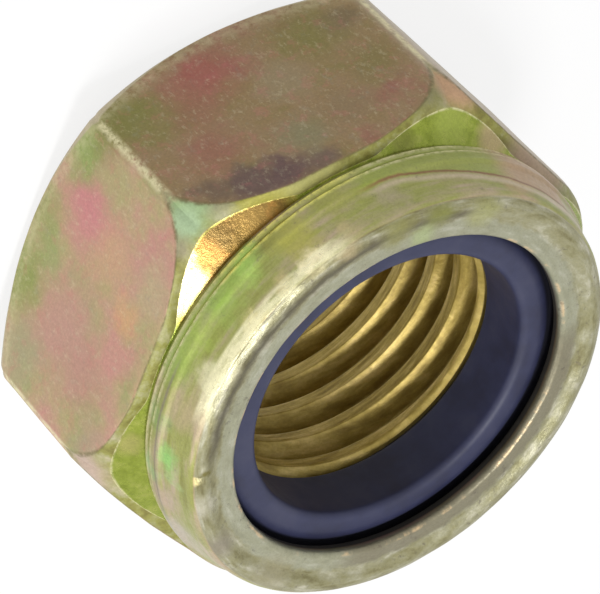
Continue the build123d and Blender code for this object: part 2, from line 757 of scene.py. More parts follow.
    def _cut_thread(self) -> bpy.types.Object:
        """Winds one turn's section up the bore, trims it and opens both countersinks."""
        sizes = self.thread
        half_root = sizes.pitch * sizes.root_share / 2
        depth = sizes.major_radius - sizes.minor_radius
        half_mouth = half_root + depth * math.tan(THREAD_FLANK)
        start = sizes.start_height - 2 * sizes.pitch
        corners = [
            Corner(sizes.major_radius, start),
            Corner(sizes.major_radius, start + half_root, sizes.root_rounding),
            Corner(sizes.minor_radius, start + half_mouth, sizes.crest_rounding),
            Corner(sizes.minor_radius, start + sizes.pitch - half_mouth, sizes.crest_rounding),
            Corner(sizes.major_radius, start + sizes.pitch - half_root, sizes.root_rounding),
            Corner(sizes.major_radius, start + sizes.pitch),
        ]
        obj = Outline(corners, longest=0.14, arc_segments=3).draw("nut_body_bore")
        make_active(obj)
        screw = obj.modifiers.new("thread", "SCREW")
        screw.axis = "Z"
        screw.angle = math.tau
        screw.screw_offset = sizes.pitch * MM
        screw.iterations = self.thread_turns
        screw.steps = self.thread_steps
        screw.render_steps = self.thread_steps
        screw.use_merge_vertices = False
        bpy.ops.object.modifier_apply(modifier=screw.name)
        edit(obj)
        bpy.ops.mesh.select_all(action="SELECT")
        bpy.ops.mesh.remove_doubles(threshold=WELD)
        for height, upper in ((0.05, False), (self.seat_height, True)):
            bpy.ops.mesh.select_all(action="SELECT")
            bpy.ops.mesh.bisect(
                plane_co=(0, 0, height * MM),
                plane_no=(0, 0, 1),
                clear_inner=not upper,
                clear_outer=upper,
                threshold=0.0005 * MM,
            )
        done()
        self._countersink(obj)
        mark = obj.data.attributes.new(Zone.BORE.value, "FLOAT", "POINT")
        for item in mark.data:
            item.value = 1.0
        return obj

    def _countersink(self, bore: bpy.types.Object) -> None:
        """Opens the bore out to the two countersinks."""
        sizes = self.thread
        lower = sizes.major_radius + sizes.countersink_margin
        lower_run = math.tan(math.radians(sizes.countersink_slope))
        upper = sizes.minor_radius + sizes.seat_countersink
        for vert in bore.data.vertices:
            height = vert.co.z / MM
            radius = reach(vert.co) / MM
            open_to = max(lower - height * lower_run, upper - (self.seat_height - height))
            if radius < open_to:
                vert.co.x *= open_to / radius
                vert.co.y *= open_to / radius
        bore.data.update()

    def _join(self, shell: bpy.types.Object, bore: bpy.types.Object) -> bpy.types.Object:
        """Joins the bore to the shell at the bearing face and at the ring's seat."""
        make_active(shell)
        bore.select_set(True)
        bpy.ops.object.join()
        mesh = bmesh.new()
        mesh.from_mesh(shell.data)
        for height in (0.0, self.seat_height):
            level = [vert for vert in mesh.verts if abs(vert.co.z - height * MM) < 0.1 * MM]
            rims = [vert for vert in level if vert.is_boundary]
            shell_rim = self.thread.countersink_margin if height == 0.0 else self.seat_rim
            between = (self.thread.major_radius + shell_rim - 0.05) * MM
            inner = [vert for vert in rims if reach(vert.co) < between]
            outer = [vert for vert in rims if reach(vert.co) >= between]
            zip_rims(mesh, inner, outer)
        log.info("steel body: %d open edges", sum(edge.is_boundary for edge in mesh.edges))
        mesh.to_mesh(shell.data)
        mesh.free()
        face_outwards(shell, 38)
        shell.name = "lock_nut_body"
        shell.data.name = "lock_nut_body"
        return shell


def turned_to(rim: list[bmesh.types.BMVert], number: int) -> float:
    """Angle of a point of a sorted rim, counted on past a full turn."""
    return turn(rim[number % len(rim)].co) + math.tau * (number // len(rim))


def zip_rims(
    mesh: bmesh.types.BMesh,
    inner: list[bmesh.types.BMVert],
    outer: list[bmesh.types.BMVert],
) -> None:
    """Closes the ring between two rims with triangles, whatever their numbers of points."""
    inner.sort(key=lambda vert: turn(vert.co))
    outer.sort(key=lambda vert: turn(vert.co))
    first = 0
    second = 0
    while first < len(inner) or second < len(outer):
        here = inner[first % len(inner)]
        there = outer[second % len(outer)]
        next_inner = turned_to(inner, first + 1)
        next_outer = turned_to(outer, second + 1)
        step_inner = second >= len(outer) or (first < len(inner) and next_inner < next_outer)
        if step_inner:
            first += 1
            mesh.faces.new((here, there, inner[first % len(inner)]))
        else:
            second += 1
            mesh.faces.new((here, there, outer[second % len(outer)]))


# ---- the nylon ring ---------------------------------------------------------------------


@dataclass(frozen=True)
class RingSizes:
    """Nylon ring, in millimetres.

    Args:
        bore_radius: smooth bore, before a bolt cuts into it.
        outer_radius: against the pocket's wall.
        bottom: height of its seat.
        top: height of its flat top.
        flat_radius: where the top starts to roll down under the lip.
        edge_rounding: rounding of the bore's upper edge.
        lead_in: bevel at the lower end of the bore.
    """

    bore_radius: float
    outer_radius: float
    bottom: float
    top: float
    flat_radius: float = 8.3
    edge_rounding: float = 0.4
    lead_in: float = 0.35


@dataclass
class NylonRing:
    """The ring that grips the bolt's thread."""

    sizes: RingSizes
    steps: int = 240

    def build(self) -> bpy.types.Object:
        """Turns the ring.

        Returns:
            The finished ring.
        """
        size = self.sizes
        corners = [
            Corner(size.bore_radius, size.bottom + size.lead_in, 0.1),
            Corner(size.bore_radius + size.lead_in, size.bottom, 0.1),
            Corner(size.outer_radius, size.bottom),
            Corner(size.outer_radius, size.top - 0.6),
            Corner(size.flat_radius + 0.52, size.top - 0.4, 0.3),
            Corner(size.flat_radius, size.top - 0.02, 0.9),
            Corner(size.bore_radius, size.top - 0.02, size.edge_rounding),
        ]
        ring = spin(Outline(corners, closed=True, longest=0.2).draw("nylon_ring"), self.steps)
        face_outwards(ring, 40)
        log.info("nylon ring: %d faces", len(ring.data.polygons))
        return ring


# ---- finishes ---------------------------------------------------------------------------


def paint(red: int, green: int, blue: int) -> Colour:
    """A colour as a painter names it, 0 to 255, turned into the light it gives back."""

    def light(part: int) -> float:
        share = part / 255
        return share / 12.92 if share <= 0.04045 else ((share + 0.055) / 1.055) ** 2.4

    return (light(red), light(green), light(blue), 1.0)


class NodeSheet:
    """Short ways to lay out the shader nodes of one material."""

    def __init__(self, name: str) -> None:
        """Starts a material with its shader and the place of each point in millimetres."""
        self.material = bpy.data.materials.new(name)
        self.material.use_nodes = True
        self.nodes = self.material.node_tree.nodes
        self.links = self.material.node_tree.links
        self.shader = self.nodes["Principled BSDF"]
        spot = self.nodes.new("ShaderNodeTexCoord")
        scale = self.nodes.new("ShaderNodeMapping")
        scale.inputs["Scale"].default_value = (1 / MM, 1 / MM, 1 / MM)
        self.links.new(spot.outputs["Object"], scale.inputs["Vector"])
        self.place = scale.outputs["Vector"]
        split = self.nodes.new("ShaderNodeSeparateXYZ")
        self.links.new(self.place, split.inputs["Vector"])
        self.x, self.y, self.z = split.outputs

    def feed(self, socket: bpy.types.NodeSocket, value: object) -> None:
        """Links a node's output to a socket, or writes a plain value there."""
        if isinstance(value, bpy.types.NodeSocket):
            self.links.new(value, socket)
        else:
            socket.default_value = value

    def math(self, kind: str, *values: object) -> Socket:
        """One sum on one or two values."""
        node = self.nodes.new("ShaderNodeMath")
        node.operation = kind
        for socket, value in zip(node.inputs, values):
            self.feed(socket, value)
        return node.outputs[0]

    def times(self, first: object, second: object) -> Socket:
        """First times second."""
        return self.math("MULTIPLY", first, second)

    def over(self, first: object, second: object) -> Socket:
        """First over second."""
        return self.math("DIVIDE", first, second)

    def plus(self, first: object, second: object) -> Socket:
        """First plus second."""
        return self.math("ADD", first, second)

    def minus(self, first: object, second: object) -> Socket:
        """First minus second."""
        return self.math("SUBTRACT", first, second)

    def larger(self, first: object, second: object) -> Socket:
        """The larger of the two."""
        return self.math("MAXIMUM", first, second)

    def vector(self, kind: str, first: object, second: object) -> bpy.types.Node:
        """One sum on two places."""
        node = self.nodes.new("ShaderNodeVectorMath")
        node.operation = kind
        self.feed(node.inputs[0], first)
        self.feed(node.inputs[1], second)
        return node

    def smooth(self, value: object, low: float, high: float) -> Socket:
        """Smooth step from 0 at low to 1 at high, or down from 1 where low is above high."""
        node = self.nodes.new("ShaderNodeMapRange")
        node.interpolation_type = "SMOOTHSTEP"
        self.feed(node.inputs["Value"], value)
        rising = low < high
        node.inputs["From Min"].default_value = low if rising else high
        node.inputs["From Max"].default_value = high if rising else low
        node.inputs["To Min"].default_value = 0.0 if rising else 1.0
        node.inputs["To Max"].default_value = 1.0 if rising else 0.0
        return node.outputs["Result"]

    def range(self, value: object, low: float, high: float) -> Socket:
        """Spreads a value from 0 to 1 evenly over low to high."""
        node = self.nodes.new("ShaderNodeMapRange")
        self.feed(node.inputs["Value"], value)
        node.inputs["To Min"].default_value = low
        node.inputs["To Max"].default_value = high
        return node.outputs["Result"]

    def noise(
        self,
        size: float,
        detail: float = 3.0,
        rough: float = 0.5,
        place: object = None,
        output: str = "Fac",
    ) -> Socket:
        """Noise whose lumps are about that many millimetres wide.

        Args:
            size: width of the lumps.
            detail: how many finer layers lie over them.
            rough: how strong the finer layers are.
            place: place to read it at, or None for the point's own.
            output: which of the noise's outputs to give.

        Returns:
            The output.
        """
        node = self.nodes.new("ShaderNodeTexNoise")
        self.feed(node.inputs["Vector"], self.place if place is None else place)
        node.inputs["Scale"].default_value = 1 / size
        node.inputs["Detail"].default_value = detail
        node.inputs["Roughness"].default_value = rough
        return node.outputs[output]

    def stretched(self, across: float, along: float, upright: float) -> Socket:
        """Place scaled by its own amount in each direction."""
        node = self.nodes.new("ShaderNodeMapping")
        self.feed(node.inputs["Vector"], self.place)
        node.inputs["Scale"].default_value = (across, along, upright)
        return node.outputs["Vector"]

    def mix(self, share: object, first: object, second: object, kind: str = "MIX") -> Socket:
        """Mixes two colours."""
        node = self.nodes.new("ShaderNodeMix")
        node.data_type = "RGBA"
        node.blend_type = kind
        self.feed(node.inputs["Factor"], share)
        self.feed(node.inputs[6], first)
        self.feed(node.inputs[7], second)
        return node.outputs[2]

    def grey(self, value: object) -> Socket:
        """Grey of a given value."""
        node = self.nodes.new("ShaderNodeCombineXYZ")
        for socket in node.inputs:
            self.feed(socket, value)
        return node.outputs[0]

    def marked(self, zone: Zone) -> Socket:
        """How much a point belongs to a zone of the body."""
        node = self.nodes.new("ShaderNodeAttribute")
        node.attribute_name = zone.value
        return node.outputs["Fac"]

    def ramp(self, value: object, *stops: tuple[float, Sequence[float]]) -> Socket:
        """Colours laid along a value from 0 to 1."""
        node = self.nodes.new("ShaderNodeValToRGB")
        self.feed(node.inputs["Fac"], value)
        ramp = node.color_ramp
        while len(ramp.elements) < len(stops):
            ramp.elements.new(0.5)
        for element, (place, colour) in zip(ramp.elements, stops):
            element.position = place
            element.color = colour
        return node.outputs["Color"]

    def near(self, place: object, spot: Sequence[float]) -> Socket:
        """Distance from one spot."""
        return self.vector("DISTANCE", place, spot).outputs["Value"]

    def around(self, long: float, wide: float, detail: float = 3.0) -> Socket:
        """Noise drawn out round the axis, so many millimetres long and wide."""
        radius = self.radius()
        parts = self.nodes.new("ShaderNodeCombineXYZ")
        self.feed(parts.inputs[0], self.times(self.over(self.x, radius), 11 / long))
        self.feed(parts.inputs[1], self.times(self.over(self.y, radius), 11 / long))
        self.feed(parts.inputs[2], self.over(self.minus(radius, self.z), wide))
        return self.noise(1.0, detail, 0.6, parts.outputs[0])

    def radius(self) -> Socket:
        """Distance from the thread's axis."""
        square = self.plus(self.times(self.x, self.x), self.times(self.y, self.y))
        return self.math("SQRT", square)

    def band(self, value: object, middle: float, half: float) -> Socket:
        """Is 1 at a middle value and falls to 0 at half a band's width from it."""
        return self.smooth(self.math("ABSOLUTE", self.minus(value, middle)), half, 0.0)

    def toward(self, angle: float, half: float, rim: float) -> Socket:
        """Is 1 where a point lies within so many degrees of an angle round the axis, and fades at the rim."""
        turned = math.radians(angle)
        along = self.plus(self.times(self.x, math.cos(turned)), self.times(self.y, math.sin(turned)))
        share = self.over(along, self.radius())
        return self.smooth(share, math.cos(math.radians(half + rim)), math.cos(math.radians(half)))

    def shifted(self, size: float, amount: float) -> Socket:
        """Place pushed about by noise, so that what is laid there gets an uneven edge."""
        lumps = self.noise(size, 5.0, 0.62, output="Color")
        middle = self.vector("SUBTRACT", lumps, (0.5, 0.5, 0.5)).outputs["Vector"]
        push = self.vector("MULTIPLY", middle, (amount, amount, amount)).outputs["Vector"]
        return self.vector("ADD", self.place, push).outputs["Vector"]

    def emboss(self, height: object, strength: float, depth: float) -> None:
        """Presses a pattern into the surface, so many millimetres deep."""
        bump = self.nodes.new("ShaderNodeBump")
        bump.inputs["Strength"].default_value = strength
        bump.inputs["Distance"].default_value = depth * MM
        self.feed(bump.inputs["Height"], height)
        self.links.new(bump.outputs["Normal"], self.shader.inputs["Normal"])


@dataclass(frozen=True)
class Bloom:
    """A patch of colour: mostly where the plating's film turns another colour, in some places a painted
    highlight, in others painted shade.

    Args:
        spot: its middle, in millimetres.
        size: distance at which it ends.
        colour: its colour.
        strength: how fully it covers, 0 to 1.
        core: share of its size that it covers evenly.
    """

    spot: tuple[float, float, float]
    size: float
    colour: Colour
    strength: float = 0.8
    core: float = 0.15


def on_flat(facing: float, along: float, height: float) -> tuple[float, float, float]:
    """Spot on the flat that faces an angle in degrees, so far along it and so high."""
    turned = math.radians(facing)
    return (
        12 * math.cos(turned) - along * math.sin(turned),
        12 * math.sin(turned) + along * math.cos(turned),
        height,
    )


def round_axis(angle: float, radius: float, height: float) -> tuple[float, float, float]:
    """Spot at an angle round the axis in degrees, at a radius and height."""
    turned = math.radians(angle)
    return (radius * math.cos(turned), radius * math.sin(turned), height)


FLAT_BLOOMS = (
    Bloom(on_flat(30, -3.1, 4.2), 2.7, paint(194, 126, 126), 0.85),
    Bloom(on_flat(30, -2.4, 6.4), 2.4, paint(196, 152, 122), 0.6),
    Bloom(on_flat(30, 2.3, 5.2), 4.0, paint(182, 138, 124), 0.8),
    Bloom(on_flat(30, 3.2, 7.6), 2.6, paint(178, 132, 118), 0.75),
    Bloom(on_flat(30, 0.9, 9.0), 2.2, paint(192, 134, 126), 0.8),
    Bloom(on_flat(30, -0.9, 8.9), 1.4, paint(204, 156, 112), 0.7),
    Bloom(on_flat(30, -5.5, 2.3), 2.6, paint(134, 154, 78), 0.9),
    Bloom(on_flat(30, -5.2, 5.0), 2.0, paint(160, 158, 102), 0.7),
    Bloom(on_flat(30, 2.1, 1.3), 2.4, paint(138, 146, 76), 0.9),
    Bloom(on_flat(30, -1.6, 1.0), 2.2, paint(142, 146, 82), 0.85),
    Bloom(on_flat(30, 5.2, 2.9), 2.6, paint(156, 154, 112), 0.85),
    Bloom(on_flat(30, 5.6, 9.6), 1.8, paint(170, 140, 124), 0.6),
    Bloom(on_flat(30, -3.0, 9.9), 1.9, paint(178, 160, 124), 0.75),
    # The blooms on the flat facing 330 degrees are laid darker than those facing 30: film colour with painted
    # shade in it.
    Bloom(on_flat(330, 1.7, 2.6), 2.7, paint(156, 88, 76), 0.9),
    Bloom(on_flat(330, 3.0, 4.6), 2.0, paint(150, 98, 80), 0.65),
    Bloom(on_flat(330, 3.9, 7.4), 2.2, paint(148, 100, 78), 0.85),
    Bloom(on_flat(330, 5.9, 3.1), 2.7, paint(124, 120, 54), 0.95),
    Bloom(on_flat(330, -3.6, 3.2), 2.7, paint(124, 116, 56), 0.9),
    Bloom(on_flat(330, 3.6, 10.0), 1.7, paint(102, 78, 70), 0.95, 0.3),
    Bloom(on_flat(330, 2.0, 10.3), 1.6, paint(98, 72, 68), 0.95, 0.3),
    Bloom(on_flat(330, 0.4, 10.5), 1.3, paint(108, 86, 74), 0.85, 0.3),
    Bloom(on_flat(330, 5.2, 9.4), 1.3, paint(106, 84, 66), 0.8),
    Bloom(on_flat(330, 0.1, 8.7), 1.8, paint(130, 126, 92), 0.7),
    Bloom(on_flat(330, -1.0, 5.2), 2.0, paint(146, 130, 96), 0.7),
    Bloom(on_flat(330, -4.8, 6.6), 2.0, paint(126, 112, 60), 0.75),
    Bloom(on_flat(330, -2.4, 8.4), 1.8, paint(134, 112, 78), 0.7),
    Bloom(on_flat(330, -5.4, 3.4), 1.4, paint(116, 98, 66), 0.8),
)

BROW_BLOOMS = (
    Bloom(round_axis(-1.0, 13.5, 8.6), 2.4, paint(160, 184, 132), 0.95, 0.5),
    Bloom(round_axis(1.0, 13.2, 9.7), 1.1, paint(168, 190, 150), 0.9, 0.3),
    Bloom(round_axis(5.5, 12.9, 10.1), 0.9, paint(160, 152, 128), 0.7, 0.2),
    Bloom(round_axis(-6.0, 12.9, 10.2), 1.0, paint(164, 160, 130), 0.7, 0.2),
    Bloom(round_axis(3.5, 13.4, 7.8), 0.8, paint(150, 116, 92), 0.6, 0.2),
    Bloom(round_axis(-54, 13.2, 9.6), 1.6, paint(138, 132, 92), 0.8, 0.3),
    Bloom(round_axis(-63, 13.3, 9.4), 1.7, paint(196, 156, 122), 0.9, 0.4),
    Bloom(round_axis(62, 13.3, 8.4), 2.6, paint(186, 164, 148), 0.95, 0.5),
    Bloom(round_axis(-90, 11.9, 11.1), 3.2, paint(192, 166, 146), 0.8, 0.4),
    Bloom(round_axis(-14, 12.3, 10.9), 1.9, paint(156, 150, 60), 0.9, 0.4),
    Bloom(round_axis(-24, 11.9, 11.1), 2.0, paint(164, 160, 96), 0.9, 0.4),
)

LEDGE_BLOOMS = (
    # The first three blooms lay brown and golden grey at the corner: film colour with a painted dark
    # reflection in it.
    Bloom(round_axis(-9, 12.2, 10.9), 1.5, paint(150, 120, 60), 0.9, 0.3),
    Bloom(round_axis(-2, 12.2, 10.8), 1.0, paint(112, 88, 38), 0.9, 0.3),
    Bloom(round_axis(2.6, 12.1, 10.9), 0.8, paint(160, 112, 48), 0.9, 0.2),
    # These three cream blooms paint the highlight on the ledge near the corner over +X.
    Bloom(round_axis(10.6, 12.0, 10.9), 1.2, paint(186, 168, 112), 1.0, 0.6),
    Bloom(round_axis(13.5, 11.7, 11.1), 1.0, paint(184, 176, 100), 0.95, 0.5),
    Bloom(round_axis(6.2, 12.6, 10.6), 0.6, paint(186, 166, 106), 0.9, 0.4),
    Bloom(round_axis(-47, 11.8, 11.2), 1.0, paint(116, 120, 48), 0.8, 0.3),
    Bloom(round_axis(-60, 12.2, 10.9), 1.5, paint(150, 162, 70), 0.8, 0.3),
    Bloom(round_axis(-73, 11.9, 11.1), 1.4, paint(178, 156, 118), 0.8, 0.3),
    Bloom(round_axis(52, 12.0, 11.0), 1.0, paint(168, 160, 96), 0.7, 0.2),
)

COLLAR_BLOOMS = (
    # The first five blooms paint a highlight on the rolled shoulder, palest cream near -12 degrees.
    Bloom(round_axis(-12, 11.3, 14.3), 1.0, paint(246, 232, 188), 0.95, 0.35),
    Bloom(round_axis(-4, 11.2, 14.5), 0.8, paint(196, 178, 124), 0.8, 0.2),
    Bloom(round_axis(6, 11.1, 14.5), 0.9, paint(226, 212, 150), 0.85, 0.25),
    Bloom(round_axis(24, 11.1, 14.4), 1.3, paint(214, 210, 168), 0.85, 0.3),
    Bloom(round_axis(-22, 11.3, 14.2), 0.9, paint(180, 166, 116), 0.8, 0.2),
    Bloom(round_axis(-1, 11.6, 12.2), 1.5, paint(168, 206, 98), 0.85),
    Bloom(round_axis(8, 11.6, 12.4), 1.8, paint(150, 184, 76), 0.75),
    Bloom(round_axis(18, 11.6, 12.2), 1.8, paint(158, 180, 78), 0.85),
    Bloom(round_axis(26, 11.6, 12.1), 1.7, paint(144, 168, 76), 0.8),
    Bloom(round_axis(40, 11.6, 12.2), 1.4, paint(138, 168, 102), 0.7),
    Bloom(round_axis(49, 11.6, 13.3), 1.0, paint(140, 190, 104), 0.9),
    Bloom(round_axis(54, 11.6, 13.6), 0.9, paint(166, 190, 130), 0.8),
    Bloom(round_axis(56, 11.6, 11.8), 1.2, paint(146, 184, 130), 0.8),
    Bloom(round_axis(34, 11.5, 13.8), 1.5, paint(174, 156, 122), 0.75),
    Bloom(round_axis(62, 11.6, 12.8), 1.2, paint(178, 156, 140), 0.75),
    Bloom(round_axis(76, 11.6, 12.6), 2.2, paint(178, 168, 152), 0.85),
    Bloom(round_axis(-13, 11.6, 13.0), 1.5, paint(168, 164, 74), 0.8),
    Bloom(round_axis(-25, 11.6, 12.4), 1.8, paint(150, 152, 66), 0.85),
    Bloom(round_axis(-36, 11.6, 12.6), 1.7, paint(144, 158, 50), 0.85),
    Bloom(round_axis(-36, 11.4, 13.9), 1.3, paint(168, 154, 128), 0.8),
    Bloom(round_axis(-52, 11.6, 13.2), 1.5, paint(150, 142, 92), 0.7),
    Bloom(round_axis(-72, 11.6, 12.8), 2.4, paint(190, 152, 124), 0.85),
)

LIP_BLOOMS = (
    # Painted shade in the nick, and a painted glint on the shoulder beside it.
    Bloom(round_axis(49, 10.35, 14.85), 0.34, paint(112, 104, 40), 0.9, 0.3),
    Bloom(round_axis(51, 10.9, 14.7), 0.36, paint(236, 218, 150), 0.95, 0.3),
    # These three blooms paint a highlight on the rolled shoulder.
    Bloom(round_axis(20, 11.1, 14.4), 1.2, paint(186, 180, 146), 0.8),
    Bloom(round_axis(-12, 11.3, 14.5), 1.0, paint(234, 222, 172), 0.9),
    Bloom(round_axis(-20, 10.9, 14.7), 1.0, paint(176, 158, 120), 0.7),
    Bloom(round_axis(-34, 10.2, 14.9), 1.3, paint(132, 130, 72), 0.8),
    Bloom(round_axis(-46, 10.2, 14.9), 1.2, paint(122, 124, 60), 0.9),
    Bloom(round_axis(-60, 10.1, 14.9), 1.3, paint(150, 150, 94), 0.8),
    Bloom(round_axis(-42, 9.3, 14.8), 0.9, paint(160, 172, 120), 0.7),
    Bloom(round_axis(76, 10.5, 14.9), 1.2, paint(134, 126, 108), 0.85),
    Bloom(round_axis(60, 11.0, 14.5), 1.2, paint(190, 184, 166), 0.7),
    Bloom(round_axis(100, 10.2, 14.9), 1.8, paint(146, 140, 110), 0.7),
)


@dataclass(frozen=True)
class PlatedSteel:
    """Zinc plate with a yellow passive film, whose colour drifts from lime through tan to pink."""

    name: str = "yellow_passivated_zinc"

    def make(self) -> bpy.types.Material:
        """Lays out the whole finish.

        Returns:
            The material.
        """
        sheet = NodeSheet(self.name)
        uneven = sheet.shifted(1.5, 2.4)
        ragged = sheet.shifted(0.5, 0.6)
        colour = self._film(sheet)
        for bloom in FLAT_BLOOMS:
            colour = self._lay(sheet, colour, bloom, uneven)
        colour = self._fleck(sheet, colour)
        zones = (
            (Zone.BROW, self._brow(sheet), BROW_BLOOMS, ragged),
            (Zone.LEDGE, self._ledge(sheet), LEDGE_BLOOMS, ragged),
            (Zone.COLLAR, self._collar(sheet), COLLAR_BLOOMS, uneven),
            (Zone.LIP, self._lip(sheet), LIP_BLOOMS, ragged),
        )
        for zone, ground, blooms, place in zones:
            for bloom in blooms:
                ground = self._lay(sheet, ground, bloom, place)
            if zone is Zone.COLLAR:
                ground = self._creases(sheet, ground)
            colour = sheet.mix(sheet.marked(zone), colour, ground)
        colour = sheet.mix(sheet.marked(Zone.BASE), colour, paint(178, 166, 136))
        # Painted shade: the pocket, the lip's underside and its inner wall are painted near black.
        colour = sheet.mix(sheet.marked(Zone.POCKET), colour, paint(38, 34, 26))
        colour = sheet.mix(sheet.marked(Zone.BORE), colour, self._thread(sheet))
        # Painted highlight: the rolled shoulder is painted pale cream in a broken streak on one side.
        worn = self._painted_shoulder_highlight(sheet)
        colour = sheet.mix(sheet.times(worn, 0.8), colour, paint(242, 236, 192))
        colour = self._speckle(sheet, colour)
        sheet.feed(sheet.shader.inputs["Base Color"], colour)
        self._gloss(sheet)
        self._texture(sheet)
        return sheet.material

    def _lay(self, sheet: NodeSheet, under: object, bloom: Bloom, place: object) -> Socket:
        """Lays one bloom over the colour under it."""
        away = sheet.near(place, bloom.spot)
        share = sheet.smooth(away, bloom.size, bloom.size * bloom.core)
        share = sheet.times(share, bloom.strength)
        return sheet.mix(share, under, bloom.colour)

    def _film(self, sheet: NodeSheet) -> Socket:
        """Colour of the flats: pink and tan in drifts, olive here and there, in a pale lit copy towards +Y
        and a deep copy of painted shade towards -Y, with a painted sheen on the flat facing 270 degrees.
        """
        drift = sheet.noise(3.6, 5.0, 0.6)
        pale = sheet.ramp(
            drift,
            (0.34, paint(150, 156, 96)),
            (0.46, paint(174, 154, 112)),
            (0.54, paint(182, 148, 120)),
            (0.66, paint(188, 134, 124)),
        )
        deep = sheet.ramp(
            drift,
            (0.34, paint(126, 118, 60)),
            (0.47, paint(142, 118, 76)),
            (0.56, paint(146, 120, 84)),
            (0.68, paint(146, 98, 78)),
        )
        # Painted light and shade: the pale copy goes on the side towards +Y, the deep copy of painted shade
        # towards -Y.
        side = sheet.smooth(sheet.y, -0.18, 0.12)
        colour = sheet.mix(side, deep, pale)
        # Painted sheen: the flat facing 270 degrees is laid pale.
        return sheet.mix(sheet.toward(270, 27, 6), colour, paint(188, 176, 156))

    def _fleck(self, sheet: NodeSheet, under: object) -> Socket:
        """Small cream and grey flecks in the flats' film, drawn out a little upright."""
        upright = sheet.stretched(1.0, 1.0, 0.6)
        cream = sheet.smooth(sheet.noise(0.26, 4.0, 0.75, upright), 0.52, 0.70)
        colour = sheet.mix(sheet.times(cream, 0.26), under, paint(206, 196, 160))
        grey = sheet.smooth(sheet.noise(0.5, 4.0, 0.7, upright, "Color"), 0.54, 0.70)
        colour = sheet.mix(sheet.times(grey, 0.3), colour, paint(146, 148, 128))
        pink = sheet.smooth(sheet.noise(0.8, 4.0, 0.7), 0.54, 0.66)
        pinker = sheet.mix(0.5, colour, paint(196, 110, 112))
        return sheet.mix(sheet.times(pink, 0.35), colour, pinker)

    def _brow(self, sheet: NodeSheet) -> Socket:
        """Colour of the rolled edge between ledge and flat."""
        drift = sheet.noise(1.0, 4.0, 0.65)
        return sheet.ramp(
            drift,
            (0.35, paint(118, 112, 48)),
            (0.48, paint(138, 136, 66)),
            (0.56, paint(150, 148, 96)),
            (0.68, paint(170, 162, 128)),
        )

    def _ledge(self, sheet: NodeSheet) -> Socket:
        """Colour of the ledge: dark gold at the corner over +X, the film's colour darkened as a painted dark
        reflection, lime elsewhere.
        """
        drift = sheet.noise(0.7, 4.0, 0.65)
        gold = sheet.ramp(
            drift,
            (0.35, paint(104, 80, 26)),
            (0.50, paint(124, 96, 36)),
            (0.62, paint(150, 106, 44)),
        )
        lime = sheet.ramp(
            drift,
            (0.35, paint(124, 136, 42)),
            (0.50, paint(138, 150, 54)),
            (0.65, paint(154, 160, 74)),
        )
        # Painted dark reflection: the dark gold is laid near the corner over +X.
        away = sheet.near(sheet.place, round_axis(0, 12.2, 10.9))
        return sheet.mix(sheet.smooth(away, 3.2, 4.6), gold, lime)

    def _collar(self, sheet: NodeSheet) -> Socket:
        """Colour of the collar's outside: lime, olive and beige in streaks round it."""
        return sheet.ramp(
            sheet.around(4.0, 0.8, 4.0),
            (0.34, paint(134, 134, 66)),
            (0.46, paint(150, 152, 84)),
            (0.54, paint(160, 154, 104)),
            (0.66, paint(176, 158, 130)),
        )

    def _creases(self, sheet: NodeSheet, under: object) -> Socket:
        """Lime foot of the collar on one side, and the crease lines above it."""
        rise = sheet.times(sheet.larger(sheet.minus(-7.5, sheet.y), 0.0), 0.25)
        wander = sheet.minus(sheet.noise(1.4, 3.0, 0.6), 0.5)
        level = sheet.minus(sheet.minus(sheet.z, rise), sheet.times(wander, 0.25))
        there = sheet.toward(-63, 26, 9)
        foot = sheet.times(sheet.smooth(level, 12.9, 12.8), there)
        colour = sheet.mix(sheet.times(foot, 0.85), under, paint(146, 154, 74))
        pink = sheet.times(foot, sheet.toward(-82, 8, 9))
        colour = sheet.mix(sheet.times(pink, 0.85), colour, paint(178, 146, 120))
        above = sheet.times(sheet.band(level, 13.15, 0.26), there)
        colour = sheet.mix(sheet.times(above, 0.8), colour, paint(190, 174, 146))
        line = sheet.times(sheet.band(level, 12.86, 0.12), there)
        colour = sheet.mix(sheet.times(line, 0.9), colour, paint(128, 90, 60))
        left = sheet.times(sheet.band(level, 12.55, 0.13), sheet.toward(50, 18, 10))
        return sheet.mix(sheet.times(left, 0.7), colour, paint(128, 118, 104))

    def _lip(self, sheet: NodeSheet) -> Socket:
        """Colour of the shoulder and lip: pale grey green, with painted shade in the valley on the side over
        +X, a paler inner band with painted shade on the far side, and a painted highlight on the inner rim.
        """
        streaks = sheet.around(1.6, 0.4, 6.0)
        ground = sheet.ramp(
            streaks,
            (0.32, paint(112, 106, 68)),
            (0.44, paint(138, 134, 98)),
            (0.55, paint(150, 147, 118)),
            (0.68, paint(180, 176, 154)),
        )
        lump = sheet.minus(sheet.noise(0.8, 4.0, 0.65), 0.5)
        radius = sheet.plus(sheet.radius(), sheet.times(lump, 0.8))
        # Painted shade: the valley is painted dark on the side over +X only.
        valley = sheet.band(radius, 10.1, 0.62)
        facing = sheet.toward(-6, 44, 14)
        dark = sheet.times(sheet.times(valley, facing), 0.95)
        colour = sheet.mix(dark, ground, paint(84, 77, 52))
        inner = sheet.smooth(radius, 9.75, 9.45)
        colour = sheet.mix(sheet.times(inner, 0.55), colour, paint(152, 154, 136))
        # Painted shade: the inner band is painted darker on the far side, round 178 degrees.
        far = sheet.toward(178, 46, 14)
        shade = sheet.times(sheet.times(inner, far), 0.75)
        colour = sheet.mix(shade, colour, paint(116, 108, 86))
        # Painted highlight: a thin pale line along the lip's inner edge.
        rim = sheet.times(sheet.band(sheet.radius(), 8.84, 0.12), sheet.smooth(streaks, 0.5, 0.6))
        return sheet.mix(sheet.times(rim, 0.7), colour, paint(214, 184, 140))

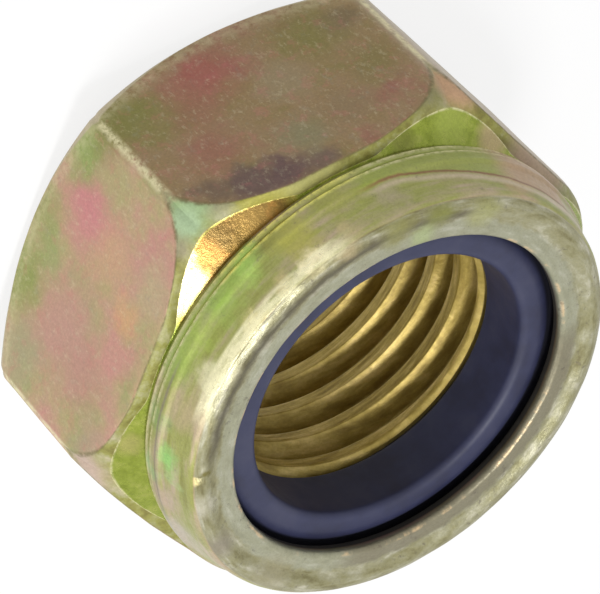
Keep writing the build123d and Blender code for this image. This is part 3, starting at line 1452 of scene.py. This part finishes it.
    def _painted_shoulder_highlight(self, sheet: NodeSheet) -> Socket:
        """Painted highlight on the rolled shoulder, in a broken streak round one side."""
        lump = sheet.minus(sheet.around(1.4, 0.5, 5.0), 0.5)
        radius = sheet.plus(sheet.radius(), sheet.times(lump, 0.9))
        streak = sheet.times(sheet.band(radius, 10.98, 0.34), sheet.smooth(sheet.z, 14.0, 14.2))
        return sheet.times(streak, sheet.toward(6, 22, 9))

    def _thread(self, sheet: NodeSheet) -> Socket:
        """Colour of the thread: gold, browner in drifts."""
        return sheet.ramp(
            sheet.around(3.0, 0.2, 4.0),
            (0.34, paint(138, 116, 48)),
            (0.50, paint(170, 148, 72)),
            (0.66, paint(196, 172, 102)),
        )

    def _speckle(self, sheet: NodeSheet, under: object) -> Socket:
        """Fine light and dark grain all over, dark pits on the shoulder, and bright edges that are partly
        worn and partly a painted highlight.
        """
        grain = sheet.range(sheet.noise(0.13, 3.0, 0.7), 0.72, 1.28)
        colour = sheet.mix(1.0, under, sheet.grey(grain), "MULTIPLY")
        pits = sheet.smooth(sheet.noise(0.26, 4.0, 0.75), 0.56, 0.66)
        where = sheet.larger(sheet.marked(Zone.LIP), sheet.times(sheet.marked(Zone.COLLAR), 0.6))
        dull = sheet.smooth(sheet.noise(2.0, 4.0, 0.6), 0.42, 0.60)
        pits = sheet.times(sheet.times(pits, where), sheet.times(dull, 0.6))
        colour = sheet.mix(pits, colour, paint(84, 76, 66))
        # Bright edges: a painted highlight on the ledge's edge, the upright corners and the collar's beads,
        # yellow near -14 degrees, and wear on the lower edges.
        broken = sheet.smooth(sheet.noise(0.35, 4.0, 0.7), 0.30, 0.60)
        edge = sheet.times(sheet.marked(Zone.EDGE), sheet.times(broken, 0.85))
        low = sheet.larger(sheet.marked(Zone.LEDGE), sheet.marked(Zone.COLLAR))
        yellow = sheet.times(sheet.times(sheet.toward(-14, 15, 8), 0.85), low)
        colour = sheet.mix(edge, colour, sheet.mix(yellow, paint(222, 214, 170), paint(240, 236, 112)))
        seam = sheet.times(sheet.marked(Zone.SEAM), sheet.times(broken, 0.75))
        return sheet.mix(seam, colour, paint(108, 98, 58))

    def _gloss(self, sheet: NodeSheet) -> None:
        """Satin on the forged faces, brighter on ledge, collar and thread."""
        bright = sheet.marked(Zone.LEDGE)
        half = sheet.larger(sheet.marked(Zone.COLLAR), sheet.marked(Zone.LIP))
        half = sheet.larger(half, sheet.marked(Zone.BORE))
        shine = sheet.larger(bright, sheet.times(half, 0.5))
        sheet.feed(sheet.shader.inputs["Metallic"], sheet.range(shine, 0.2, 0.6))
        patchy = sheet.range(sheet.noise(0.5, 4.0, 0.65), -0.12, 0.12)
        patchy = sheet.times(patchy, sheet.minus(1.4, bright))
        rough = sheet.plus(sheet.range(shine, 0.54, 0.27), patchy)
        rough = sheet.minus(rough, sheet.times(self._painted_shoulder_highlight(sheet), 0.14))
        sheet.feed(sheet.shader.inputs["Roughness"], rough)

    def _texture(self, sheet: NodeSheet) -> None:
        """Fine grain and shallow pits of the forging, and drawn-out marks where the collar was rolled."""
        grain = sheet.noise(0.3, 5.0, 0.65)
        rolled = sheet.around(1.1, 0.26, 5.0)
        where = sheet.larger(sheet.marked(Zone.LIP), sheet.marked(Zone.COLLAR))
        where = sheet.larger(where, sheet.marked(Zone.BORE))
        height = sheet.plus(sheet.times(grain, 0.6), sheet.times(rolled, where))
        sheet.emboss(height, 0.6, 0.06)


@dataclass(frozen=True)
class BlueNylon:
    """Moulded nylon, dark blue and faintly cloudy, with painted shade where its top rolls down under the lip.
    """

    name: str = "dark_blue_nylon"

    def make(self) -> bpy.types.Material:
        """Lays out the finish.

        Returns:
            The material.
        """
        sheet = NodeSheet(self.name)
        cloud = sheet.noise(2.2, 4.0, 0.6)
        colour = sheet.ramp(
            cloud,
            (0.35, paint(36, 38, 62)),
            (0.50, paint(42, 45, 72)),
            (0.65, paint(50, 52, 76)),
        )
        # Painted shade: the ring's top is painted near black where it rolls down under the lip.
        sunk_painted_shade = sheet.smooth(sheet.radius(), 8.38, 8.75)
        colour = sheet.mix(sunk_painted_shade, colour, paint(26, 26, 34))
        sheet.feed(sheet.shader.inputs["Base Color"], colour)
        rough = sheet.range(sheet.noise(0.9, 4.0, 0.65), 0.42, 0.62)
        sheet.feed(sheet.shader.inputs["Roughness"], rough)
        sheet.shader.inputs["Specular IOR Level"].default_value = 0.4
        sheet.emboss(sheet.noise(0.4, 4.0, 0.6), 0.25, 0.03)
        return sheet.material


# ---- studio -----------------------------------------------------------------------------


@dataclass(frozen=True)
class Studio:
    """Plain floor, soft light and the camera.

    Args:
        camera_place: camera's place in millimetres.
        camera_right: camera's right hand direction.
        camera_down: camera's downward direction.
        camera_ahead: direction in which the camera looks.
        lens: focal length in millimetres.
        sensor: width of the sensor in millimetres.
        world_light: strength of the light from all round.
        floor_share: how far the floor shows as plain white to the camera.
    """

    camera_place: Vector = Vector((140.7076, -14.0778, 122.4105))
    camera_right: Vector = Vector((-0.50606, -0.68072, 0.52965))
    camera_down: Vector = Vector((-0.39063, 0.72839, 0.56291))
    camera_ahead: Vector = Vector((-0.76897, 0.07797, -0.63451))
    lens: float = 237.82
    sensor: float = 36.0
    world_light: float = 0.55
    floor_share: float = 0.82

    def set_up(self) -> None:
        """Makes the floor, the lamps, the world and the camera."""
        self._camera()
        self._world()
        self._floor()
        self._lamp("key", (26, 54, 190), 50, 0.25)
        self._lamp("side", (60, 190, 90), 120, 0.10)
        bpy.context.scene.view_settings.view_transform = "Standard"

    def _camera(self) -> None:
        """Places the camera."""
        data = bpy.data.cameras.new("camera")
        data.lens = self.lens
        data.sensor_fit = "HORIZONTAL"
        data.sensor_width = self.sensor
        data.clip_start = 0.01
        data.clip_end = 10.0
        camera = bpy.data.objects.new("camera", data)
        bpy.context.scene.collection.objects.link(camera)
        columns = Matrix((self.camera_right, -self.camera_down, -self.camera_ahead)).transposed()
        camera.matrix_world = Matrix.Translation(self.camera_place * MM) @ columns.to_4x4()
        bpy.context.scene.camera = camera

    def _world(self) -> None:
        """Even light from all round, white where the camera sees it."""
        world = bpy.data.worlds.new("studio")
        bpy.context.scene.world = world
        world.use_nodes = True
        nodes = world.node_tree.nodes
        links = world.node_tree.links
        nodes.clear()
        out = nodes.new("ShaderNodeOutputWorld")
        mix = nodes.new("ShaderNodeMixShader")
        seen = nodes.new("ShaderNodeBackground")
        lit = nodes.new("ShaderNodeBackground")
        seen.inputs["Strength"].default_value = 1.0
        seen.inputs["Color"].default_value = (1, 1, 1, 1)
        lit.inputs["Color"].default_value = (1, 1, 1, 1)
        lit.inputs["Strength"].default_value = self.world_light
        links.new(seen_directly(nodes, links), mix.inputs["Fac"])
        links.new(lit.outputs["Background"], mix.inputs[1])
        links.new(seen.outputs["Background"], mix.inputs[2])
        links.new(mix.outputs["Shader"], out.inputs["Surface"])

    def _floor(self) -> None:
        """Lays a plain white floor under the bearing face."""
        deselect_all()
        bpy.ops.mesh.primitive_plane_add(size=1.6, location=(0, 0, 0))
        floor = bpy.context.active_object
        floor.name = "studio_floor"
        material = bpy.data.materials.new("white_floor")
        material.use_nodes = True
        shader = material.node_tree.nodes["Principled BSDF"]
        shader.inputs["Base Color"].default_value = (0.9, 0.9, 0.9, 1)
        shader.inputs["Roughness"].default_value = 0.9
        nodes = material.node_tree.nodes
        links = material.node_tree.links
        white = nodes.new("ShaderNodeEmission")
        share = nodes.new("ShaderNodeMath")
        share.operation = "MULTIPLY"
        share.inputs[1].default_value = self.floor_share
        links.new(seen_directly(nodes, links), share.inputs[0])
        mix = nodes.new("ShaderNodeMixShader")
        links.new(share.outputs[0], mix.inputs["Fac"])
        links.new(shader.outputs["BSDF"], mix.inputs[1])
        links.new(white.outputs["Emission"], mix.inputs[2])
        links.new(mix.outputs["Shader"], nodes["Material Output"].inputs["Surface"])
        floor.data.materials.append(material)

    def _lamp(self, name: str, place: Sequence[float], size: float, power: float) -> None:
        """Adds one soft lamp that faces the nut.

        Args:
            name: lamp's name.
            place: its place in millimetres.
            size: its side in millimetres.
            power: its power in watts.
        """
        data = bpy.data.lights.new(name, "AREA")
        data.shape = "SQUARE"
        data.size = size * MM
        data.energy = power
        lamp = bpy.data.objects.new(name, data)
        bpy.context.scene.collection.objects.link(lamp)
        spot = Vector(place) * MM
        aim = (-spot).to_track_quat("-Z", "Y").to_matrix().to_4x4()
        lamp.matrix_world = Matrix.Translation(spot) @ aim


def seen_directly(nodes: bpy.types.Nodes, links: bpy.types.NodeLinks) -> Socket:
    """Is 1 for a ray from the camera, or one that gloss or glass sends on, and 0 for light on the nut."""
    path = nodes.new("ShaderNodeLightPath")
    total = path.outputs["Is Camera Ray"]
    for name in ("Is Glossy Ray", "Is Transmission Ray"):
        more = nodes.new("ShaderNodeMath")
        more.operation = "MAXIMUM"
        links.new(total, more.inputs[0])
        links.new(path.outputs[name], more.inputs[1])
        total = more.outputs[0]
    return total


def main() -> None:
    """Builds the nut, dresses it and sets up the studio."""
    body_low, body_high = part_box("nut_body")
    ring_low, ring_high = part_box("nylon_insert")
    crest_radius = frame["record"]["mounts"][0]["dims"]["r_mm"]
    thread_depth = 1.0
    ring_margin = 0.1
    body = SteelBody(
        hexagon=HexagonSizes(
            flat_radius=(body_high.y - body_low.y) / 2 / MM,
            corner_radius=(body_high.x - body_low.x) / 2 / MM,
        ),
        thread=ThreadSizes(major_radius=crest_radius + thread_depth, minor_radius=crest_radius),
        collar=CollarSizes(),
        seat_height=ring_low.z / MM,
    ).build()
    ring = NylonRing(
        RingSizes(
            bore_radius=crest_radius + ring_margin,
            outer_radius=(ring_high.x - ring_low.x) / 2 / MM,
            bottom=ring_low.z / MM,
            top=ring_high.z / MM,
        )
    ).build()
    body.data.materials.append(PlatedSteel().make())
    ring.data.materials.append(BlueNylon().make())
    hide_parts("nut_body")
    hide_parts("nylon_insert")
    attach(body, "root")
    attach(ring, "root")
    Studio().set_up()


if __name__ == "__main__":
    main()
